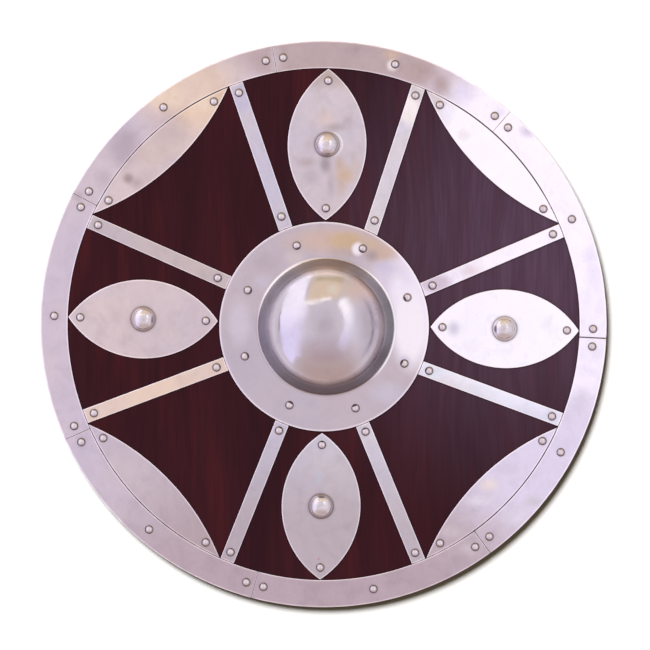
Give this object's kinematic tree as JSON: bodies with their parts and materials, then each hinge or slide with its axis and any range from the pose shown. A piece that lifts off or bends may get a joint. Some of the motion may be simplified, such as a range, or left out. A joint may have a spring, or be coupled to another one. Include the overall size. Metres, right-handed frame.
{
  "type": "wooden round shield",
  "caption": "Round wooden shield with a riveted sheet steel rim, straps and pointed plates, and a hollow domed steel boss over a hand grip.",
  "frame": {"origin": "middle of the board's flat back face, on which the shield lies", "axes": "+Z out of the shield's front, through the boss; +Y towards the shield's top as it is held or hung; +X to the right as seen from the front"},
  "size_m": [0.6098, 0.6096, 0.0778],
  "materials": {
    "stained_mahogany": "dark mahogany stain under a thin satin varnish, upright grain",
    "sheet_steel": "polished sheet with soft smudges and thin bright edges",
    "rivet_steel": "polished domed heads",
    "boss_steel": "spun and polished, faint turning marks",
    "grip_wood": "rubbed smooth by the hand"
  },
  "bodies": {
    "root": {"board": "stained_mahogany", "rim_segment_1": "sheet_steel", "rim_segment_2": "sheet_steel", "rim_segment_3": "sheet_steel", "rim_segment_4": "sheet_steel", "rim_segment_5": "sheet_steel", "rim_segment_6": "sheet_steel", "rim_segment_7": "sheet_steel", "strap_right_upper": "sheet_steel", "strap_upper_right": "sheet_steel", "strap_upper_left": "sheet_steel", "strap_left_upper": "sheet_steel", "strap_left_lower": "sheet_steel", "strap_lower_left": "sheet_steel", "strap_lower_right": "sheet_steel", "strap_right_lower": "sheet_steel", "corner_plate_upper_right": "sheet_steel", "corner_plate_upper_left": "sheet_steel", "corner_plate_lower_left": "sheet_steel", "corner_plate_lower_right": "sheet_steel", "almond_plate_right": "sheet_steel", "almond_plate_top": "sheet_steel", "almond_plate_left": "sheet_steel", "almond_plate_bottom": "sheet_steel", "stud_right": "rivet_steel", "stud_top": "rivet_steel", "stud_left": "rivet_steel", "stud_bottom": "rivet_steel", "boss": "boss_steel", "hand_grip": "grip_wood"}
  },
  "joints": []
}
